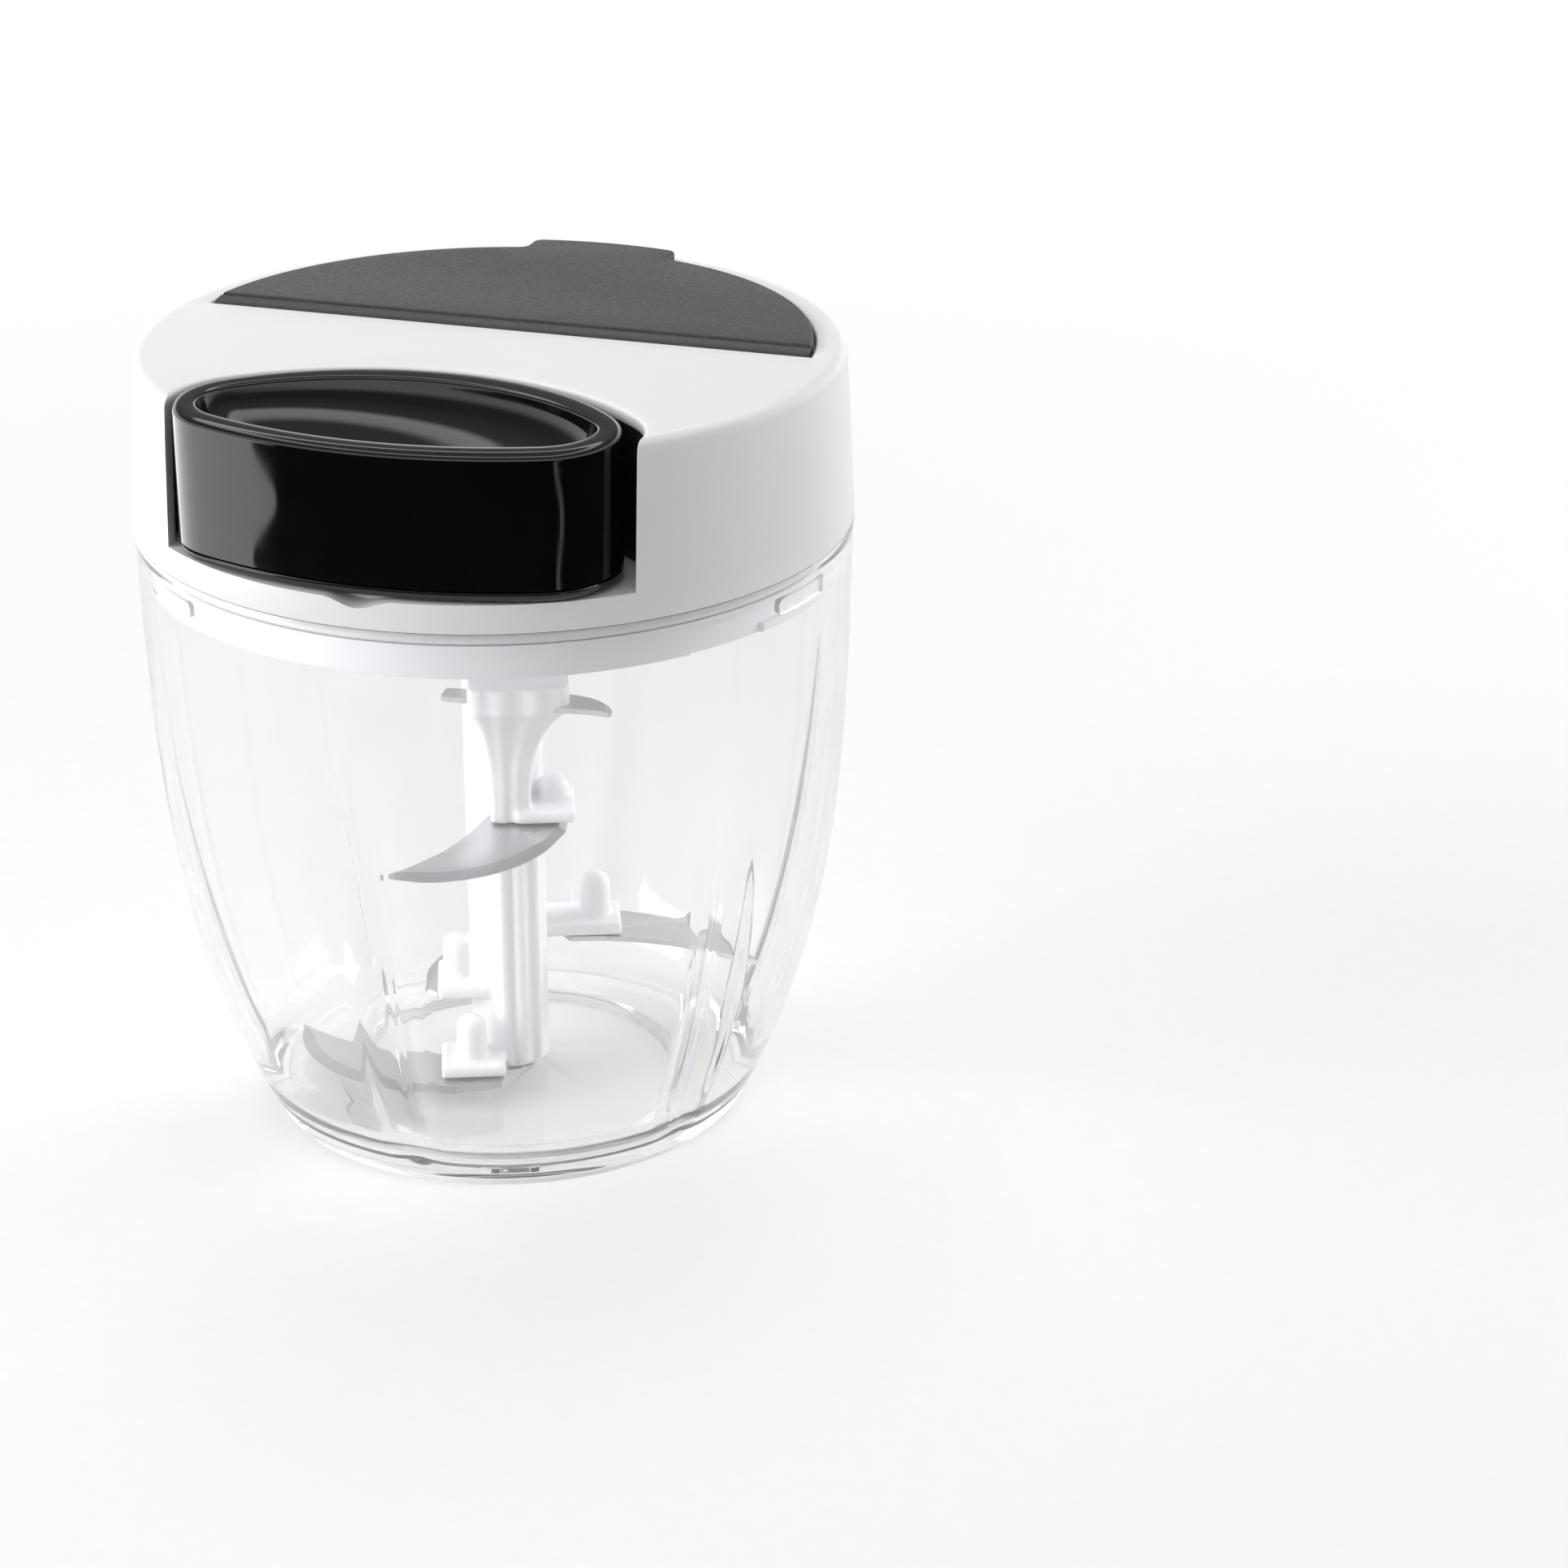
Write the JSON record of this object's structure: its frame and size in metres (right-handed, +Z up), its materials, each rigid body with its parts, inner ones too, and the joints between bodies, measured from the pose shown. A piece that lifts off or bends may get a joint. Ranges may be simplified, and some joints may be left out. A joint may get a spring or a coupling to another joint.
{
  "type": "pull cord food chopper",
  "caption": "Round clear bowl with a cord driven lid, docked pull handle, half moon fill flap and a stepped shaft of curved blades.",
  "frame": {"origin": "on the bowl's axis, on the surface that the non slip ring stands on", "axes": "+Z up along the axis of bowl, lid and blade shaft; -Y is the side with the pull handle; +X is the right of someone who faces the handle"},
  "size_m": [0.13, 0.13, 0.1485],
  "materials": {
    "clear_plastic": "clear moulded plastic, glossy",
    "white_plastic": "white moulded plastic, satin",
    "milky_silicone": "milky silicone, satin",
    "gloss_black": "piano black moulded plastic",
    "matt_black": "matt black moulded plastic",
    "dark_textured": "dark grey plastic with a fine spark texture",
    "blade_steel": "stainless sheet, ground edge",
    "plain_steel": "plain steel",
    "cord_fibre": "braided light grey cord"
  },
  "bodies": {
    "bowl_group": {"bowl": "clear_plastic", "non_slip_ring": "milky_silicone", "bowl_pivot_pin": "plain_steel"},
    "lid_group": {"lid_housing": "white_plastic", "flap_tray": "white_plastic", "lid_base": "white_plastic", "fill_chute": "white_plastic", "lid_seal": "milky_silicone", "handle_dock": "matt_black", "cord_guide_bush": "plain_steel", "spring_cup": "white_plastic", "spring_cover": "white_plastic", "recoil_spring": "plain_steel", "reel_axle": "plain_steel", "reel_washer": "plain_steel", "cord_lead": "cord_fibre", "lid_screw_1": "plain_steel", "lid_screw_2": "plain_steel", "lid_screw_3": "plain_steel", "lid_screw_4": "plain_steel"},
    "flap_group": {"fill_flap": "dark_textured", "flap_seal": "milky_silicone"},
    "handle_group": {"handle_shell": "gloss_black", "handle_cover": "gloss_black", "pull_cord": "cord_fibre", "cord_knot": "cord_fibre", "handle_screw_1": "plain_steel", "handle_screw_2": "plain_steel"},
    "reel_group": {"reel": "white_plastic", "cord_winding": "cord_fibre", "drive_socket": "white_plastic", "socket_screw": "plain_steel"},
    "blade_group": {"blade_shaft": "white_plastic", "blade_1": "blade_steel", "blade_2": "blade_steel", "blade_3": "blade_steel", "blade_4": "blade_steel", "blade_5": "blade_steel", "blade_rivet_1": "plain_steel", "blade_rivet_2": "plain_steel", "blade_rivet_3": "plain_steel", "blade_rivet_4": "plain_steel"}
  },
  "joints": [
    {"name": "lid_twist", "type": "hinge", "parent": "bowl_group", "child": "lid_group", "pos_m": [0, 0, 0.116], "axis": [0, 0, 1], "range_deg": [0, 18]},
    {"name": "flap_lift", "type": "hinge", "parent": "lid_group", "child": "flap_group", "pos_m": [0, 0.00895, 0.1464], "axis": [1, 0, 0], "range_deg": [0, 90]},
    {"name": "handle_pull", "type": "slide", "parent": "lid_group", "child": "handle_group", "axis": [0, -1, 0], "range_m": [0, 0.45], "stiffness_N_per_m": 10, "springref_m": -0.3},
    {"name": "reel_spin", "type": "hinge", "parent": "lid_group", "child": "reel_group", "pos_m": [0, 0, 0.126], "axis": [0, 0, 1], "range_deg": [0, 2100]},
    {"name": "blade_spin", "type": "hinge", "parent": "lid_group", "child": "blade_group", "pos_m": [0, 0, 0.05], "axis": [0, 0, 1], "range_deg": [0, 2100]}
  ],
  "couplings": [
    {"joint": "reel_spin", "follows": "handle_pull", "rad_per_m": 80},
    {"joint": "blade_spin", "follows": "handle_pull", "rad_per_m": 80}
  ]
}
